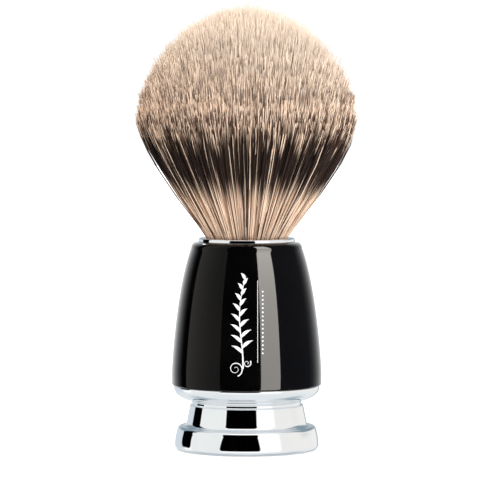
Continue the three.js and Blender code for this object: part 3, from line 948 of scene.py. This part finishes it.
amber_resin = moulded(
    "amber bonding resin", (0.34, 0.15, 0.03, 1), (0.52, 0.28, 0.08, 1), 0.08, 0.2, 900.0, 260.0)
black_moulding = moulded(
    "black moulded plastic", (0.014, 0.014, 0.014, 1), (0.028, 0.027, 0.026, 1), 0.35, 0.55)
plug_bottom, plug_top, plug_radius = span_of("knot_plug")
plug = turned("resin_plug", [
    (0, plug_bottom), (plug_radius - 0.2, plug_bottom), (plug_radius, plug_bottom + 0.2),
    (plug_radius, plug_top - 0.15),
    *swoop([(plug_radius - 0.15, plug_top), (8.6, plug_top - 0.3), (0, plug_top - 0.3)], 10),
], amber_resin, ring=False)
stands_for(plug, "knot_plug")
ring_low, ring_high, ring_radius = span_of("knot_ferrule")
ferrule = turned("knot_ring", [
    (9.6, ring_low), *arc(ring_radius - 0.2, ring_low + 0.2, 0.2, -90, 0, 4),
    (ring_radius, 44.6), (10.25, 44.8), (10.25, 46.0), (ring_radius, 46.2),
    *arc(ring_radius - 0.3, ring_high - 0.3, 0.3, 0, 90, 6), (9.8, ring_high), (9.6, ring_high - 0.4),
], black_moulding)
stands_for(ferrule, "knot_ferrule")

waxed_cotton, tree, shader = blank_finish("waxed cotton cord", Sheen_Weight=0.25)
fibre = noise(object_place(tree), 9000.0, 3.0)
paint(shader, ramp(fibre, 0.3, 0.7), (0.52, 0.44, 0.32, 1), (0.8, 0.73, 0.6, 1))
tree.links.new(ramp(fibre, 0.3, 0.7, 0.85, 0.6), shader.inputs["Roughness"])
embossed(shader, fibre, 0.5, 0.00004)


def cord_tree(finish):
    """Geometry tree for the wound cord: three plies twisted together along a helix."""
    group, given = geometry_tree(
        "wound cord", Turns=3.0, Pitch=0.0008, Winding_Radius=0.0091, First_Level=0.0439,
        Cord_Radius=0.0004, Plies=3.0, Lay=0.0016, Finish=finish)
    helix = shape(group, "CurveSpiral", {
        "Resolution": 72, "Rotations": given["Turns"], "Start Radius": given["Winding_Radius"],
        "End Radius": given["Winding_Radius"], "Height": times(given["Turns"], given["Pitch"])})
    helix = shape(group, "Transform", {
        "Geometry": helix, "Translation": spot(0.0, 0.0, given["First_Level"])})
    along = put(group, "GeometryNodeSplineParameter").outputs["Length"]
    twist = times(over(along, given["Lay"]), 2 * pi)
    helix = shape(group, "SetCurveTilt", {"Curve": helix, "Tilt": over(twist, given["Plies"])})
    section = shape(group, "CurvePrimitiveCircle", {"Resolution": 18, "Radius": 1.0})
    place = shape(group, "InputPosition")
    x, y = split(place)[:2]
    lobe = times(calc("ARCTAN2", y, x), times(given["Plies"], 0.5))
    swell = calc("MULTIPLY_ADD", calc("ABSOLUTE", calc("COSINE", lobe)), 0.22, 0.78)
    section = shape(group, "SetPosition", {"Geometry": section, "Position": scaled(place, swell)})
    cord = shape(group, "CurveToMesh", {
        "Curve": helix, "Profile Curve": section, "Scale": given["Cord_Radius"], "Fill Caps": True})
    cord = shape(group, "SetShadeSmooth", {0: cord, 2: True})
    finish_tree(group, cord, given["Finish"])
    return group


tie_low, _, tie_radius = span_of("binding_thread")
CORD_RADIUS = 0.4
binding = grown(
    "binding_cord", cord_tree(waxed_cotton), Turns=3.0, Pitch=2 * CORD_RADIUS * MM, Finish=waxed_cotton,
    Cord_Radius=CORD_RADIUS * MM, First_Level=(tie_low + CORD_RADIUS) * MM,
    Winding_Radius=(tie_radius - CORD_RADIUS) * MM)
stands_for(binding, "binding_thread")

# ---- Plated base -------------------------------------------------------------------------
# Two turned brass pieces, a bowl under the barrel and a waisted foot, both chrome plated.
# The foot is recessed for its cover and pad, and the bowl centres on a step in the foot.

bowl = turned("bowl_shell", [
    (2.7, 10.25), (8.9, 10.25), (9.0, 10.35), (9.0, 11.25),
    (13.9, 11.25), (13.7, 11.5), (13.66, 11.9), (13.66, 11.95),
    *swoop([(13.66, 11.95), (13.8, 12.75), (18.3, 12.6), (18.3, 15.9)], 36)[1:],
    *arc(18.1, 15.9, 0.2, 0, 90, 4)[1:],
    (14.95, 16.1), (14.95, 14.6), (12.55, 13.0), (2.7, 13.0),
], bright_chrome)
foot = turned("foot_shell", [
    (14.3, 0.3),
    *arc(17.2, 1.1, 0.8, -90, 0, 14),
    *swoop([(18.0, 1.1), (17.99, 3.1), (17.43, 5.0)], 16)[1:],
    *arc(16.49, 4.95, 0.95, 12, 90, 14)[1:],
    *swoop([(16.3, 5.9), (15.1, 5.9), (15.0, 7.0)], 16),
    *swoop([(15.0, 7.0), (14.62, 8.9), (14.22, 11.0)], 16)[1:],
    *arc(13.97, 11.0, 0.25, 0, 90, 6)[1:],
    (9.1, 11.25), (9.1, 10.2), (2.7, 10.2), (2.7, 9.05), (12.4, 9.05), (12.4, 2.7), (14.3, 2.7),
], bright_chrome)
for piece, node in ((bowl, "base_bowl"), (foot, "base_foot")):
    plated.objects.link(piece)
    stands_for(piece, node)
gasket = turned("barrel_gasket", washer_outline("barrel_seal", 14.95), seal_rubber)
stands_for(gasket, "barrel_seal")

# ---- Tie rod, washers and nut --------------------------------------------------------------
# A zinc-plated steel rod with a rolled thread screws into the bush, and pulls bowl and foot up
# against the barrel with a flat washer, a spring washer and a hexagon nut.

zinc_steel = metal("zinc plated steel", (0.56, 0.57, 0.58, 1), (0.36, 0.36, 0.38, 1), 0.28, 0.46)
rod_low, rod_high, rod_radius = span_of("tie_rod")
rod_blank = turned("rod_blank", [
    (0, rod_low), (rod_radius - 0.5, rod_low), *stepped(rod_radius, rod_low + 0.5, rod_high - 0.5),
    (rod_radius - 0.5, rod_high), (0, rod_high),
], zinc_steel, turns=36, ring=False)
rod = cut_from(
    "threaded_rod", rod_blank, zinc_steel, Low=rod_low * MM, High=rod_high * MM, Least_Radius=0.0022,
    Pitch=0.0008, Starts=1.0, Depth=0.00038)
stands_for(rod, "tie_rod")
washer = turned("round_washer", washer_outline("flat_washer", 2.7, 0.15), zinc_steel, turns=96)
stands_for(washer, "flat_washer")
for node in ("spring_washer", "tie_nut"):
    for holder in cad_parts[node].material_slots:
        holder.material = zinc_steel

# ---- Ballast, cover and pad ----------------------------------------------------------------
# A cast iron ring weights the foot. A plastic disc snaps in below it, and a disc of pressed
# black felt is glued over the disc, so that the brush stands softly.

grey_iron = moulded(
    "grey cast iron", (0.035, 0.035, 0.038, 1), (0.11, 0.105, 0.1, 1), 0.55, 0.85, 1400.0, 240.0,
    depth=0.0001, metallic=0.6)
iron_low, iron_high, iron_radius = span_of("ballast_ring")
ballast = turned("iron_ring", [
    (5.8, iron_low + 0.3), (6.1, iron_low), *arc(iron_radius - 0.5, iron_low + 0.5, 0.5, -90, 0, 6),
    *arc(iron_radius - 0.7, iron_high - 0.5, 0.5, 6, 90, 6), (6.3, iron_high), (5.8, iron_high - 0.4),
], grey_iron)
stands_for(ballast, "ballast_ring")
cover_low, cover_high, cover_radius = span_of("base_cover")
cover = turned("foot_cover", [
    (0, cover_low), *arc(cover_radius - 0.2, cover_low + 0.2, 0.2, -90, 0, 4),
    (cover_radius, cover_high - 0.3), (cover_radius - 0.3, cover_high), (0, cover_high),
], black_moulding, ring=False)
stands_for(cover, "base_cover")

black_felt, tree, shader = blank_finish("black pressed felt", Sheen_Weight=0.4, Specular_IOR_Level=0.2)
where = object_place(tree)
bend = put(tree, "ShaderNodeTexNoise", {0: where, 2: 900.0, 3: 2.0}).outputs[1]
matted = moved(where, scaled(bend, 0.0016))
wisps = []
for stretch in ((1.0, 0.12, 1.0), (0.12, 1.0, 1.0)):
    drawn_out = arrows("MULTIPLY", matted, stretch).outputs[0]
    wisps.append(noise(drawn_out, 5200.0))
fibres = calc("MAXIMUM", *wisps)
paint(shader, ramp(fibres, 0.45, 0.75), (0.006, 0.006, 0.007, 1), (0.045, 0.044, 0.046, 1))
tree.links.new(ramp(fibres, 0.4, 0.8, 0.95, 0.75), shader.inputs["Roughness"])
embossed(shader, fibres, 0.8, 0.00012)
pad_low, pad_high, pad_radius = span_of("foot_pad")
pad = turned("felt_pad", [
    (0, pad_low), (8, pad_low), *arc(pad_radius - 0.55, pad_low + 0.55, 0.55, -90, 0, 10),
    (pad_radius, pad_high - 0.1), (pad_radius - 0.1, pad_high), (0, pad_high),
], black_felt, ring=False)
stands_for(pad, "foot_pad")
